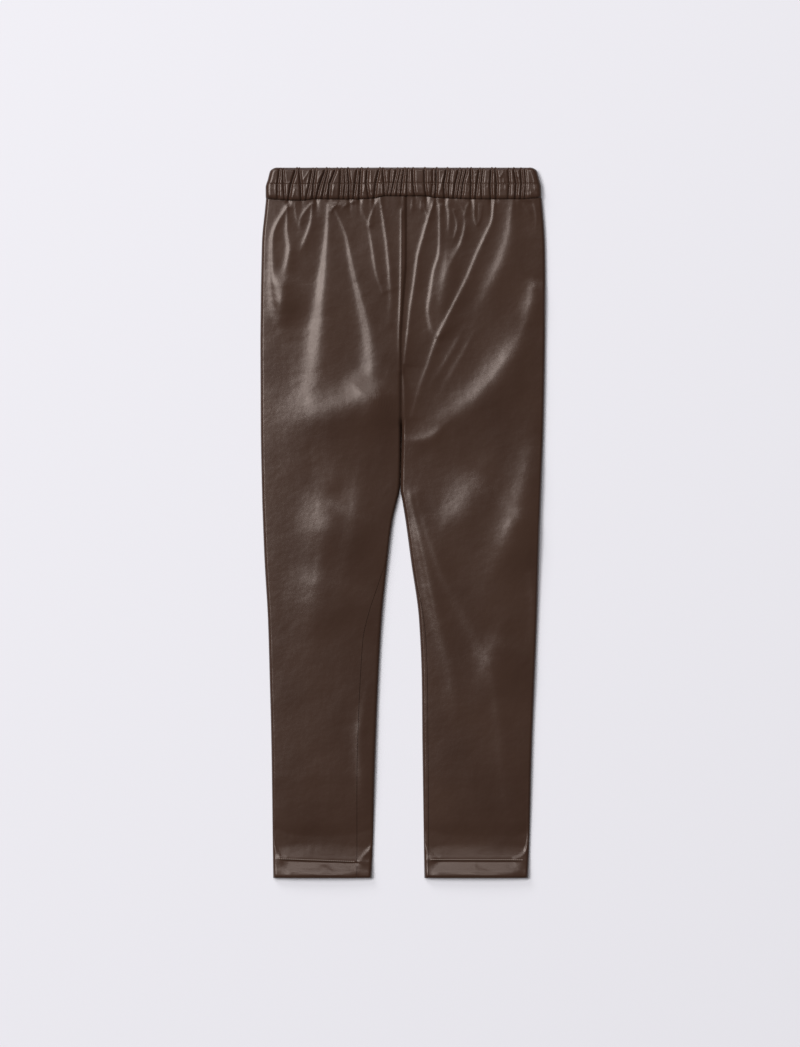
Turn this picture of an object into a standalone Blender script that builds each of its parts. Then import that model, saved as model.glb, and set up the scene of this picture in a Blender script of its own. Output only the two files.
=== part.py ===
"""A child's pull-on leggings in thin coated cloth, laid flat on a surface, front side up.

X runs across the legs, +Y points to the waist and +Z up. The origin is the middle of the
footprint, on the surface. Left and right are those of someone who looks down on the front.
Sizes and tables are in millimetres. Heights along the garment, called y in the tables, are
counted from the hems, and rises are counted from the surface.
"""

import math
from collections import namedtuple

import bmesh
import bpy
import numpy as np

MM = 0.001

# Driving dimensions
LENGTH = 600.0
BAND_SEAM = 573.0
CROTCH = 378.0
HEM_DEPTH = 17.0
SEAM_GAP = 0.3
WALL = 1.2
HEM_WALL = 1.5

# The rounded side edges of the legs, and the cloth's rise between them
EDGE_REACH = 2.8
EDGE_MIDDLE = 2.5
EDGE_TOP = 5.0
EDGE_ARC = 4.15
CROWN = 0.8
CROWN_REACH = 14.0
HEM_TOP = 4.6
HEM_CORNER = 18.0
HEM_CORNER_REACH = 4.5
HEM_PUFF_REACH = 8.0
WAIST_RISE = 0.6
WAIST_REACH = 15.0
SEAM_DIP = 0.9
SEAM_DIP_REACH = 1.9
LEAST_TOP = 3.4

# Above the crotch the four panels part within this height
CROTCH_BLEND = 12.0
INSEAM_LIFT = 1.0

# The waistband is a flattened loop round a thin gap
BAND_CORE = 4.1
BAND_HALF_GAP = 0.5
BAND_CORNER = 4.2
BAND_SCALLOP = 0.5

# Mesh density
EDGE_STEPS = 3
FRONT_COLUMNS = 16
BOTTOM_STEPS = 4
WRAP_STEPS = 5
WRAP_STEP = 1.4
FLAT_STEP = 1.6
FINE_FROM = 402.0
ROUTE_STEPS = 5
BAND_UNDER_COLUMNS = 34
BAND_CORNER_STEPS = 4
WIDE_GATHER = 3.2

# Cloth colour, linear
CLOTH_COLOUR = (0.060, 0.036, 0.027, 1.0)
CLOTH_ROUGHNESS = 0.42

# The side edges of the two legs. Above the crotch both inner edges are the centre front seam.
Section = namedtuple("Section", "y outer_left inner_left inner_right outer_right")
SECTIONS = (
    Section(0, -109.8, -26.3, 18.0, 105.9),
    Section(49, -110.4, -24.7, 17.3, 107.5),
    Section(116, -111.4, -22.6, 16.3, 109.4),
    Section(167, -112.7, -20.6, 15.8, 111.5),
    Section(218, -114.2, -17.6, 13.5, 113.5),
    Section(268, -117.1, -12.6, 6.7, 115.1),
    Section(302, -118.5, -8.4, 2.1, 116.2),
    Section(319, -119.1, -4.9, -0.3, 116.8),
    Section(336, -119.5, -2.4, -1.7, 117.5),
    Section(378, -120.3, -1.3, -1.3, 118.9),
    Section(424, -120.5, -1.1, -1.1, 119.9),
    Section(454, -120.6, -1.0, -1.0, 120.3),
    Section(477, -120.4, 0.3, 0.3, 120.5),
    Section(495, -120.2, 1.6, 1.6, 120.6),
    Section(521, -119.7, 3.3, 3.3, 120.4),
    Section(539, -119.2, 3.3, 3.3, 120.0),
    Section(564, -116.8, 3.3, 3.3, 118.3),
    Section(573, -115.9, 3.3, 3.3, 117.4),
)

# How far the back panel rolls round the inner edge of each leg before it meets the inseam,
# counted round the edge from its middle
Roll = namedtuple("Roll", "y left right")
ROLLS = (
    Roll(0, 14, 5),
    Roll(120, 17, 6),
    Roll(200, 16.5, 6),
    Roll(224, 13, 5),
    Roll(250, 7, 3),
    Roll(283, INSEAM_LIFT, INSEAM_LIFT),
    Roll(573, INSEAM_LIFT, INSEAM_LIFT),
)

# Rows of points up the panels: how many there are up to each height
Stretch = namedtuple("Stretch", "top rows")
STRETCHES = (
    Stretch(HEM_DEPTH, 3),
    Stretch(37, 3),
    Stretch(336, 15),
    Stretch(CROTCH, 3),
    Stretch(FINE_FROM, 4),
    Stretch(470, 5),
    Stretch(BAND_SEAM - SEAM_GAP / 2, 11),
)

# The main folds, each along its route from the waist's end down. A negative rise is a hollow.
# Start and end are the shares of the rise at the route's ends, and left and right are the
# half widths at half height on its two sides.
Fold = namedtuple("Fold", "route rise start end left right")
FOLDS = (
    # left side, from the outseam to the centre
    Fold(((-98, 568), (-110, 546), (-112, 521), (-108, 488), (-102, 463)), 1.8, 0.3, 0, 2.5, 4),
    Fold(((-98, 567), (-98.5, 546), (-96.5, 529), (-101, 514), (-105, 493)), 1.6, 0.5, 0, 2.5, 3),
    Fold(((-91.5, 570), (-90.5, 558), (-87.5, 550), (-84, 563), (-78, 570)), 1.4, 0.4, 0.4, 2, 2),
    Fold(((-77, 569), (-78.5, 553), (-84.5, 537), (-89.5, 524)), 1.8, 0.5, 0, 2.5, 2.5),
    Fold(((-63.5, 568), (-67.5, 518), (-74.5, 459), (-82, 408)), 2.4, 0.4, 0.1, 6, 5),
    Fold(((-49, 567), (-43.5, 570), (-38, 569), (-29, 551)), 1.6, 0.2, 0.8, 2, 2),
    Fold(((-23.5, 570), (-28.5, 555), (-26.5, 532), (-23, 510), (-18, 495)), 1.9, 0.5, 0, 2.5, 2.5),
    Fold(((-58.5, 566), (-49, 543), (-44, 518), (-38, 493), (-29, 450), (-26.5, 415)),
         3.2, 0.5, 0.15, 3.5, 3),
    Fold(((-19.5, 572), (-17, 555), (-14, 532), (-11, 489), (-13, 475)), 1.9, 0.6, 0, 2.5, 2.5),
    # centre
    Fold(((-1, 571), (-2, 516), (-3.5, 480), (-3.5, 450), (-1.5, 430)), 1.9, 0.4, 0.2, 2.2, 2),
    Fold(((19, 566), (21, 557), (16.5, 542), (12, 526), (9, 504), (6, 484), (3.5, 461), (1, 440)),
         2.8, 0.4, 0.3, 2.5, 3),
    # right side, from the centre to the outseam
    Fold(((30.5, 567), (30, 531), (25.5, 513), (20.5, 479), (23, 465), (29, 459)),
         2.0, 0.4, 0.3, 2.5, 3),
    Fold(((27, 573), (34.5, 570), (38, 564), (38, 549), (40, 540)), 1.6, 0.4, 0.1, 2, 2),
    Fold(((43, 563), (45, 553), (44, 543), (41.5, 537)), 1.4, 0.3, 0, 2, 2),
    Fold(((46, 571), (51.5, 561), (51.5, 549), (47.5, 535), (35.5, 510)), 1.8, 0.4, 0, 2.5, 2.5),
    Fold(((60, 569), (60, 557), (63, 551), (66, 557), (67.5, 568)), 1.4, 0.5, 0.5, 2, 2),
    Fold(((76, 570), (74.5, 555), (61, 526), (42.5, 484), (25.5, 449), (13.5, 415), (7, 387)),
         3.4, 0.4, 0.2, 3.5, 3),
    Fold(((91.5, 564), (85.5, 537), (77, 518), (61, 493), (52, 470)), 2.2, 0.3, 0.2, 8, 8),
    Fold(((100, 573), (110, 569), (112.5, 557), (111.5, 545)), 1.6, 0.4, 0.2, 2, 2),
    Fold(((109, 494), (102, 469), (90.5, 455), (76, 430), (61, 412), (47.5, 399), (20.5, 385)),
         2.9, 0.3, 0.1, 3.5, 3.5),
    Fold(((2, 376), (8, 372), (22, 374), (37.5, 385)), 1.2, 0.3, 0.3, 4, 4),
    # thighs and lower legs
    Fold(((-90, 408), (-70, 391), (-49, 400), (-28, 416)), 1.1, 0.2, 0.2, 9, 9),
    Fold(((19, 323), (64.5, 280), (91.5, 281), (106, 300)), 1.0, 0.2, 0.2, 8, 8),
    Fold(((6, 308), (17, 262), (29, 208), (41.5, 147)), 1.3, 0.2, 0, 5, 5),
    Fold(((19, 292), (44, 236), (62.5, 197), (79, 133), (84, 79), (91.5, 35)), 1.4, 0.2, 0, 5, 5),
    Fold(((19, 310), (40.5, 279), (57, 257)), -1.0, 0.3, 0.3, 6, 6),
    Fold(((-100, 319), (-59, 260)), 0.9, 0.2, 0.2, 6, 6),
    Fold(((-97, 272), (-69, 231)), 0.8, 0.2, 0.2, 6, 6),
    Fold(((-21, 328), (-26, 299), (-27, 259), (-40, 202)), 1.2, 0.3, 0.1, 5, 5),
    Fold(((-36, 201), (-39, 160), (-44, 120), (-61, 83)), -0.8, 0.2, 0.2, 6, 6),
    Fold(((-31, 160), (-39, 120), (-36, 79), (-33.5, 66)), 0.9, 0.2, 0.2, 5, 5),
)
# The shares of a route over which a fold rises to its full height and sinks from it
FOLD_START = 0.3
FOLD_FINISH = 0.5

# The waistband's side edges
BandEdge = namedtuple("BandEdge", "y left right")
BAND_EDGES = (
    BandEdge(573, -116.0, 117.0),
    BandEdge(583, -116.1, 116.7),
    BandEdge(590, -114.2, 115.1),
    BandEdge(596.5, -112.5, 113.3),
    BandEdge(600, -110.4, 111.3),
)

# The waistband's wall from its seam to its top edge: how thick it is in front and under,
# and how deep the gathers cut into the front. The fifth row is the row of stitching.
BandRow = namedtuple("BandRow", "up front under gather")
BAND_ROWS = (
    BandRow(0.0, 2.5, 3.2, 0.3),
    BandRow(1.4, 3.1, 3.6, 0.7),
    BandRow(6.5, 3.8, 3.6, 1.3),
    BandRow(11.2, 3.5, 3.6, 1.2),
    BandRow(12.9, 2.9, 3.6, 0.6),
    BandRow(14.6, 3.5, 3.6, 1.2),
    BandRow(19.8, 3.8, 3.6, 1.3),
    BandRow(24.4, 3.2, 3.6, 0.9),
    BandRow(26.2, 2.2, 2.4, 0.4),
    BandRow(26.85, 1.0, 1.0, 0.0),
    BandRow(26.2, 0.0, 0.0, 0.0),
    BandRow(0.2, 0.0, 0.0, 0.0),
)
BAND_STITCH_ROW = 4
BAND_TOP_ROW = 9

# The gathers' grooves across the waistband, at its seam, its stitching and its top edge
Gather = namedtuple("Gather", "seam stitch top depth")
GATHERS = (
    Gather(-105.5, -105.5, -103.5, 0.7),
    Gather(-99.5, -100.5, -101.0, 0.6),
    Gather(-96.5, -94.0, -89.5, 1.0),
    Gather(-85.5, -86.0, -87.5, 0.9),
    Gather(-81.5, -78.5, -76.0, 0.7),
    Gather(-76.0, -75.0, -73.0, 0.8),
    Gather(-73.0, -69.5, -64.5, 1.0),
    Gather(-68.0, -65.5, -62.0, 0.7),
    Gather(-62.5, -61.5, -55.5, 0.9),
    Gather(-53.5, -52.5, -52.0, 0.8),
    Gather(-49.5, -48.5, -49.5, 0.6),
    Gather(-45.0, -45.0, -46.5, 1.0),
    Gather(-41.5, -40.0, -38.0, 0.8),
    Gather(-36.5, -36.0, -35.0, 1.0),
    Gather(-28.5, -30.5, -29.5, 0.9),
    Gather(-24.0, -22.5, -19.5, 1.0),
    Gather(-15.0, -15.5, -17.0, 0.8),
    Gather(-13.0, -11.0, -10.0, 0.6),
    Gather(-10.0, -7.5, -4.5, 0.8),
    Gather(-5.0, -4.0, -1.0, 0.6),
    Gather(-1.5, -0.5, 1.5, 0.9),
    Gather(4.0, 4.0, 4.5, 0.7),
    Gather(10.5, 9.0, 8.5, 0.9),
    Gather(20.0, 18.5, 18.5, 1.0),
    Gather(24.0, 25.5, 25.5, 0.5),
    Gather(27.5, 28.5, 28.5, 1.0),
    Gather(35.5, 35.0, 37.5, 1.0),
    Gather(39.0, 39.5, 41.0, 0.5),
    Gather(43.0, 44.5, 48.0, 0.8),
    Gather(46.0, 48.0, 51.0, 0.6),
    Gather(49.5, 51.0, 54.5, 0.8),
    Gather(57.5, 58.0, 57.5, 1.0),
    Gather(61.5, 63.0, 65.0, 0.8),
    Gather(67.0, 66.5, 68.0, 0.6),
    Gather(74.5, 74.0, 75.0, 1.0),
    Gather(79.0, 79.5, 78.0, 0.9),
    Gather(89.0, 90.0, 89.0, 0.7),
    Gather(95.0, 96.0, 93.5, 0.9),
    Gather(99.5, 100.5, 99.5, 0.8),
    Gather(103.0, 104.0, 103.0, 0.6),
)

# Where a squared hyperbolic secant, the folds' profile, is at half its height
HALF_HEIGHT = math.acosh(math.sqrt(2))

LEFT, RIGHT = -1, 1
SIDE_NAMES = {LEFT: "left", RIGHT: "right"}


def column(rows, name):
    """One named column of a table, as an array."""
    return np.array([getattr(row, name) for row in rows], float)


def follow(at, rows, name):
    """A table's column at the height at, on a curve through its rows that never overshoots."""
    knots = column(rows, "y")
    values = column(rows, name)
    secants = np.diff(values) / np.diff(knots)
    product = secants[:-1] * secants[1:]
    total = secants[:-1] + secants[1:]
    same_way = product > 0
    middle = np.where(same_way, 2 * product / np.where(same_way, total, 1), 0)
    slopes = np.concatenate([secants[:1], middle, secants[-1:]])
    below = np.clip(np.searchsorted(knots, at) - 1, 0, len(knots) - 2)
    span = knots[below + 1] - knots[below]
    share = np.clip((at - knots[below]) / span, 0, 1)
    rise = share**2 * (3 - 2 * share)
    start_pull = share * (1 - share) ** 2 * span * slopes[below]
    end_pull = share**2 * (share - 1) * span * slopes[below + 1]
    return (1 - rise) * values[below] + rise * values[below + 1] + start_pull + end_pull


def smooth_step(share):
    share = np.clip(share, 0, 1)
    return share**2 * (3 - 2 * share)


def leg_share(y):
    """1 where the legs are apart, 0 well above the crotch, where left and right are sewn."""
    return 1 - smooth_step((y - CROTCH) / CROTCH_BLEND)


def outer_edge(side, y):
    return follow(y, SECTIONS, "outer_" + SIDE_NAMES[side])


def inner_edge(side, y):
    return follow(y, SECTIONS, "inner_" + SIDE_NAMES[side])


def back_seam(y):
    """The centre back seam runs straight from the crotch to the middle of the waist."""
    return inner_edge(LEFT, CROTCH) * (BAND_SEAM - np.maximum(y, CROTCH)) / (BAND_SEAM - CROTCH)


def curve_through(route):
    """Points on a smooth curve that passes through the route's points."""
    points = np.array(route, float)
    first = 2 * points[0] - points[1]
    last = 2 * points[-1] - points[-2]
    points = np.vstack([first, points, last])
    found = []
    for a, b, c, d in zip(points, points[1:], points[2:], points[3:]):
        for step in range(ROUTE_STEPS):
            t = step / ROUTE_STEPS
            bend = (2 * a - 5 * b + 4 * c - d) * t**2 + (3 * b - a - 3 * c + d) * t**3
            found.append(b + ((c - a) * t + bend) / 2)
    found.append(points[-2])
    return np.array(found)


def fold_rise(fold, x, y):
    """How far this fold lifts the cloth at x, y."""
    points = curve_through(fold.route)
    nearest = np.full(np.shape(x), np.inf)
    across = np.zeros(np.shape(x))
    along = np.zeros(np.shape(x))
    for index, (start, end) in enumerate(zip(points, points[1:])):
        run = end - start
        share = ((x - start[0]) * run[0] + (y - start[1]) * run[1]) / (run @ run)
        share = np.clip(share, 0, 1)
        dx = x - start[0] - share * run[0]
        dy = y - start[1] - share * run[1]
        distance = np.hypot(dx, dy)
        nearer = distance < nearest
        nearest = np.where(nearer, distance, nearest)
        across = np.where(nearer, run[0] * dy - run[1] * dx, across)
        along = np.where(nearer, (index + share) / (len(points) - 1), along)
    width = np.where(across > 0, fold.right, fold.left)
    profile = 1 / np.cosh(HALF_HEIGHT * nearest / width) ** 2
    taper_in = fold.start + (1 - fold.start) * smooth_step(along / FOLD_START)
    taper_out = fold.end + (1 - fold.end) * smooth_step((1 - along) / FOLD_FINISH)
    return fold.rise * profile * taper_in * taper_out


def top_height(side, x, y):
    """The rise of the cloth's upper face, before its side edges are rounded down."""
    out = np.abs(x - outer_edge(side, y))
    into = np.abs(x - inner_edge(side, y))
    legs = leg_share(y)
    crown = (1 - np.exp(-out / CROWN_REACH)) * (1 - legs * np.exp(-into / CROWN_REACH))
    corners = np.exp(-out / HEM_CORNER_REACH) + np.exp(-into / HEM_CORNER_REACH)
    above_hem = np.maximum(y - HEM_DEPTH - HEM_CORNER * corners, 0)
    puff = 1 - np.exp(-above_hem / HEM_PUFF_REACH)
    height = HEM_TOP + puff * (EDGE_TOP - HEM_TOP + CROWN * crown)
    height = height + WAIST_RISE * np.exp((y - BAND_SEAM) / WAIST_REACH)
    for fold in FOLDS:
        height = height + puff * fold_rise(fold, x, y)
    dip = SEAM_DIP * (1 - legs) * np.exp(-((into / SEAM_DIP_REACH) ** 2))
    return np.maximum(height - dip, LEAST_TOP)


def round_edge(distance):
    """Reach in from a side edge and share of the rise, this far round it from its middle."""
    share = np.clip(distance / EDGE_ARC, 0, 1) * math.pi / 2
    reach = EDGE_REACH * (1 - np.cos(share)) + np.maximum(distance - EDGE_ARC, 0)
    return reach, np.sin(share)


def front_row(side, y, columns):
    """Points x, z of a front panel's outer face at height y, from the outseam to its inner seam."""
    edge_columns = EDGE_STEPS * columns // FRONT_COLUMNS
    to_seam = follow(y, ROLLS, SIDE_NAMES[side]) + SEAM_GAP
    legs = leg_share(y)
    shares = np.linspace(0, 1, edge_columns + 1)
    outer_reach, outer_rise = round_edge(SEAM_GAP / 2 + (EDGE_ARC - SEAM_GAP / 2) * shares)
    leg_reach, leg_rise = round_edge(to_seam + EDGE_ARC * shares[::-1])
    inner_reach = SEAM_GAP / 2 + legs * leg_reach + (1 - legs) * EDGE_ARC * shares[::-1]
    inner_rise = legs * leg_rise + 1 - legs
    outer_x = outer_edge(side, y) - side * outer_reach
    inner_x = inner_edge(side, y) + side * inner_reach
    middle_x = np.linspace(outer_x[-1], inner_x[0], columns - 2 * edge_columns + 1)[1:-1]
    x = np.concatenate([outer_x, middle_x, inner_x])
    rise = np.concatenate([outer_rise, np.ones(len(middle_x)), inner_rise])
    z = EDGE_MIDDLE + (top_height(side, x, y) - EDGE_MIDDLE) * rise
    return np.column_stack([x, z])


def wrap_distances(to_seam):
    """Steps round the inner edge from its middle up to the inseam, short ones first."""
    count = np.arange(1, WRAP_STEPS - 1)
    near = np.minimum(WRAP_STEP * count, to_seam * count / WRAP_STEPS)
    return np.concatenate([near, [(near[-1] + to_seam) / 2, to_seam]])


def back_row(side, y):
    """Points x, z of a back panel's outer face: under the leg, then up round its inner edge."""
    legs = leg_share(y)
    to_seam = follow(y, ROLLS, SIDE_NAMES[side])
    shares = np.linspace(0, 1, EDGE_STEPS + 1)
    outer_reach, outer_rise = round_edge(SEAM_GAP / 2 + (EDGE_ARC - SEAM_GAP / 2) * shares)
    down_reach, down_rise = round_edge(EDGE_ARC * shares[::-1])
    up_reach, up_rise = round_edge(wrap_distances(to_seam))
    up_x = inner_edge(side, y) + side * (SEAM_GAP / 2 + up_reach)
    up_z = EDGE_MIDDLE + (top_height(side, up_x, y) - EDGE_MIDDLE) * up_rise
    leg_x = np.concatenate([inner_edge(side, y) + side * (SEAM_GAP / 2 + down_reach), up_x])
    leg_z = np.concatenate([EDGE_MIDDLE * (1 - down_rise), up_z])
    flat_reach = SEAM_GAP / 2 + FLAT_STEP * np.arange(len(leg_x))[::-1]
    inner_x = legs * leg_x + (1 - legs) * (back_seam(y) + side * flat_reach)
    inner_z = legs * leg_z
    outer_x = outer_edge(side, y) - side * outer_reach
    bottom_x = np.linspace(outer_x[-1], inner_x[0], BOTTOM_STEPS + 1)[1:-1]
    x = np.concatenate([outer_x, bottom_x, inner_x])
    z = np.concatenate([EDGE_MIDDLE * (1 - outer_rise), np.zeros(len(bottom_x)), inner_z])
    return np.column_stack([x, z])


def moved_in(side, y, back, front):
    """The two rows moved in by the wall's thickness, square to the ring that they form."""
    ring = np.vstack([back, front[::-1]])
    steps = np.roll(ring, -1, axis=0) - ring
    steps /= np.hypot(steps[:, 0], steps[:, 1])[:, None]
    turned = np.column_stack([side * steps[:, 1], -side * steps[:, 0]])
    inward = turned + np.roll(turned, 1, axis=0)
    last_back, last_front = len(back) - 1, len(back)
    legs = leg_share(y)
    inward[[0, -1]] = inward[0] + inward[-1]
    inseam = legs * (inward[last_back] + inward[last_front])
    inward[last_back] = inseam + (1 - legs) * np.array([0, 1])
    inward[last_front] = inseam - (1 - legs) * np.array([0, 1])
    inward /= np.hypot(inward[:, 0], inward[:, 1])[:, None]
    wall = HEM_WALL if y <= HEM_DEPTH else WALL
    inner = ring + wall * inward
    return inner[:last_front], inner[last_front:][::-1]


def row_heights():
    """Heights of the panels' rows of points, from the hem to the waistband's seam."""
    heights = [0.0]
    for stretch in STRETCHES:
        start = heights[-1]
        step = (stretch.top - start) / stretch.rows
        heights += [start + step * (count + 1) for count in range(stretch.rows)]
    return heights


def strip_faces(lower, upper):
    """Faces between two rows of points, where the upper row has as many steps or twice as many."""
    if len(lower) == len(upper):
        return [
            (lower[i], lower[i + 1], upper[i + 1], upper[i]) for i in range(len(lower) - 1)
        ]
    faces = []
    for i in range(len(lower) - 1):
        left, middle, right = upper[2 * i:2 * i + 3]
        faces.append((lower[i], middle, left))
        faces.append((lower[i], lower[i + 1], middle))
        faces.append((lower[i + 1], right, middle))
    return faces


def cloth_material(name):
    material = bpy.data.materials.new(name)
    material.use_nodes = True
    shader = material.node_tree.nodes["Principled BSDF"]
    shader.inputs["Base Color"].default_value = CLOTH_COLOUR
    shader.inputs["Roughness"].default_value = CLOTH_ROUGHNESS
    shader.inputs["Metallic"].default_value = 0.0
    return material


def add_object(name, data, parent):
    bmesh.ops.recalc_face_normals(data, faces=data.faces)
    mesh = bpy.data.meshes.new(name)
    data.to_mesh(mesh)
    data.free()
    mesh.shade_smooth()
    mesh.materials.append(cloth_material(name + "_cloth"))
    piece = bpy.data.objects.new(name, mesh)
    piece.parent = parent
    bpy.context.scene.collection.objects.link(piece)
    return piece


def add_points(data, row, y):
    """Vertices of one row of points x, z at height y above the hems."""
    return [data.verts.new((x * MM, (y - LENGTH / 2) * MM, z * MM)) for x, z in row]


def panel(name, heights, outer_rows, inner_rows, parent):
    """A leg panel: its outer and inner faces, closed by a rim all round."""
    data = bmesh.new()
    outer = [add_points(data, row, y) for row, y in zip(outer_rows, heights)]
    inner = [add_points(data, row, y) for row, y in zip(inner_rows, heights)]
    faces = []
    for face in (outer, inner):
        for lower, upper in zip(face, face[1:]):
            faces += strip_faces(lower, upper)
    for end in (0, -1):
        faces += strip_faces(outer[end], inner[end])
        faces += strip_faces([row[end] for row in outer], [row[end] for row in inner])
    for corners in faces:
        data.faces.new(corners)
    return add_object(name, data, parent)


def leg_panels(side, parent):
    """The front and back panels of one leg, worked out together ring by ring."""
    heights = row_heights()
    backs, fronts, back_insides, front_insides = [], [], [], []
    for y in heights:
        columns = 2 * FRONT_COLUMNS if y > FINE_FROM else FRONT_COLUMNS
        back, front = back_row(side, y), front_row(side, y, columns)
        back_inside, front_inside = moved_in(side, y, back, front)
        backs.append(back)
        fronts.append(front)
        back_insides.append(back_inside)
        front_insides.append(front_inside)
    panel("front_" + SIDE_NAMES[side], heights, fronts, front_insides, parent)
    panel("back_" + SIDE_NAMES[side], heights, backs, back_insides, parent)


def gather_columns():
    """Columns of points across the band's front: each groove, and one or two crests after it."""
    columns = [(0, 0.0)]
    middles = [-np.inf] + [gather.stitch for gather in GATHERS] + [np.inf]
    for index, (left, right) in enumerate(zip(middles, middles[1:])):
        if index:
            columns.append((index, 0.0))
        crests = (1 / 3, 2 / 3) if right - left > WIDE_GATHER else (0.5,)
        columns += [(index, share) for share in crests]
    columns.append((len(GATHERS) + 1, 0.0))
    return columns


def groove_positions(up, left, right):
    """Where the grooves lie this far up the band, between its two corners."""
    heights = [0, BAND_ROWS[BAND_STITCH_ROW].up, BAND_ROWS[BAND_TOP_ROW].up]
    lines = [np.interp(up, heights, [gather.seam, gather.stitch, gather.top]) for gather in GATHERS]
    return np.array([left] + lines + [right])


def band_ring(data, row, columns):
    """One closed ring of vertices round the band: front, right corner, underside, left corner."""
    y = BAND_SEAM + SEAM_GAP / 2 + row.up
    left = follow(y, BAND_EDGES, "left") + BAND_CORNER
    right = follow(y, BAND_EDGES, "right") - BAND_CORNER
    above = BAND_HALF_GAP + row.front
    below = BAND_HALF_GAP + row.under
    full = max(column(BAND_ROWS, "under"))
    around = BAND_HALF_GAP + row.under / full * (BAND_CORNER - BAND_HALF_GAP)
    grooves = groove_positions(row.up, left, right)
    depths = [0] + [gather.depth for gather in GATHERS] + [0]
    ring = []
    for index, share in columns:
        x = grooves[index]
        if share:
            x += share * (grooves[index + 1] - x)
        depth = 0 if share else depths[index]
        dip = BAND_SCALLOP * (1 - depth) if row is BAND_ROWS[BAND_TOP_ROW] else 0
        ring.append((x, y - dip, BAND_CORE + above - row.gather * depth))
    angles = np.linspace(math.pi / 2, -math.pi / 2, BAND_CORNER_STEPS + 1)[1:-1]
    heights = [BAND_CORE + (above if angle > 0 else below) * math.sin(angle) for angle in angles]
    ring += [(right + around * math.cos(a), y, z) for a, z in zip(angles, heights)]
    for x in np.linspace(right, left, BAND_UNDER_COLUMNS):
        ring.append((x, y, BAND_CORE - below))
    ring += [(left - around * math.cos(a), y, z) for a, z in zip(angles[::-1], heights[::-1])]
    return [data.verts.new((x * MM, (at - LENGTH / 2) * MM, z * MM)) for x, at, z in ring]


def waistband(parent):
    """The gathered casing: rings of points round the loop, joined up its outside and down inside."""
    columns = gather_columns()
    data = bmesh.new()
    rings = [band_ring(data, row, columns) for row in BAND_ROWS]
    for lower, upper in zip(rings, rings[1:] + rings[:1]):
        for i in range(len(lower)):
            data.faces.new((lower[i - 1], lower[i], upper[i], upper[i - 1]))
    return add_object("waistband", data, parent)


def clear_scene():
    for item in list(bpy.data.objects):
        bpy.data.objects.remove(item)


def main():
    clear_scene()
    leggings = bpy.data.objects.new("leggings", None)
    bpy.context.scene.collection.objects.link(leggings)
    for side in (LEFT, RIGHT):
        leg_panels(side, leggings)
    waistband(leggings)


main()
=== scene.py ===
"""The looks of the leggings: dark brown leather-look cloth laid flat, seen from straight above.

The pieces follow the solids' own sizes and tables, with finer folds, puckers and stitches.
Sizes and tables are in millimetres. Heights along the garment, called y in the tables, are
counted from the hems, and rises are counted from the surface.
"""

import math
from collections import namedtuple

import bpy
import numpy as np
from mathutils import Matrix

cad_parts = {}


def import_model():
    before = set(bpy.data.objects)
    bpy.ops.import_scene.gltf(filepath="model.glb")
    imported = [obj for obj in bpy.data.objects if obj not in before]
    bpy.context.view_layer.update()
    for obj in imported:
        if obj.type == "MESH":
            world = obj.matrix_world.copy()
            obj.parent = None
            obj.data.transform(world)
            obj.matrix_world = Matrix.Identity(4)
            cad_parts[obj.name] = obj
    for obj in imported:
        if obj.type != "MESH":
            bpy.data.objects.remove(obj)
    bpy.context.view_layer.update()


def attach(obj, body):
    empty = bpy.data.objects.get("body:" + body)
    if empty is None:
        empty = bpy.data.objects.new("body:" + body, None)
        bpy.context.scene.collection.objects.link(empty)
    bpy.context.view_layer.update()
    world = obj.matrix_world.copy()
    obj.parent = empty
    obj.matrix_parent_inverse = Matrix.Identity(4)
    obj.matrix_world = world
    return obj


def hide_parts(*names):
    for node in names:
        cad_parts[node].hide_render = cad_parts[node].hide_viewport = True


MM = 0.001

# The solids' driving dimensions
LENGTH = 600.0
BAND_SEAM = 573.0
BAND_STITCHING = 586.0
CROTCH = 378.0
HEM_STITCHING = 15.6

# The gap between panels, how far they reach under the waistband and each other, and their thickness
SEAM_GAP = 0.16
BAND_TUCK = 0.2
BACK_LAP = 0.04
WALL = 1.1

# The rounded side edges of the legs, and the cloth's rise between them
EDGE_REACH = 2.8
EDGE_MIDDLE = 1.7
EDGE_TOP = 5.0
EDGE_ARC = 4.15
CROWN = 0.8
CROWN_REACH = 14.0
HEM_ROUND = 2.5
HEM_FALL = 1.5
WAIST_RISE = 0.6
WAIST_REACH = 15.0
SEAM_DIP = 1.2
SEAM_DIP_REACH = 1.5
LEAST_TOP = 3.4
CROTCH_BLEND = 12.0
INSEAM_LIFT = 1.0
CROTCH_LIFT = 0.05

# Mesh density: steps, columns and rows of points, with finer routes for folds wider than WIDE
EDGE_STEPS = 8
FRONT_COLUMNS = 240
INNER_STRIDE = 4
BOTTOM_STEPS = 30
WRAP_STEPS = 16
FLAT_STEP = 0.5
ROUTE_STEPS = 8
WIDE = 4.0
WIDE_STEPS = 24

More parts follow.
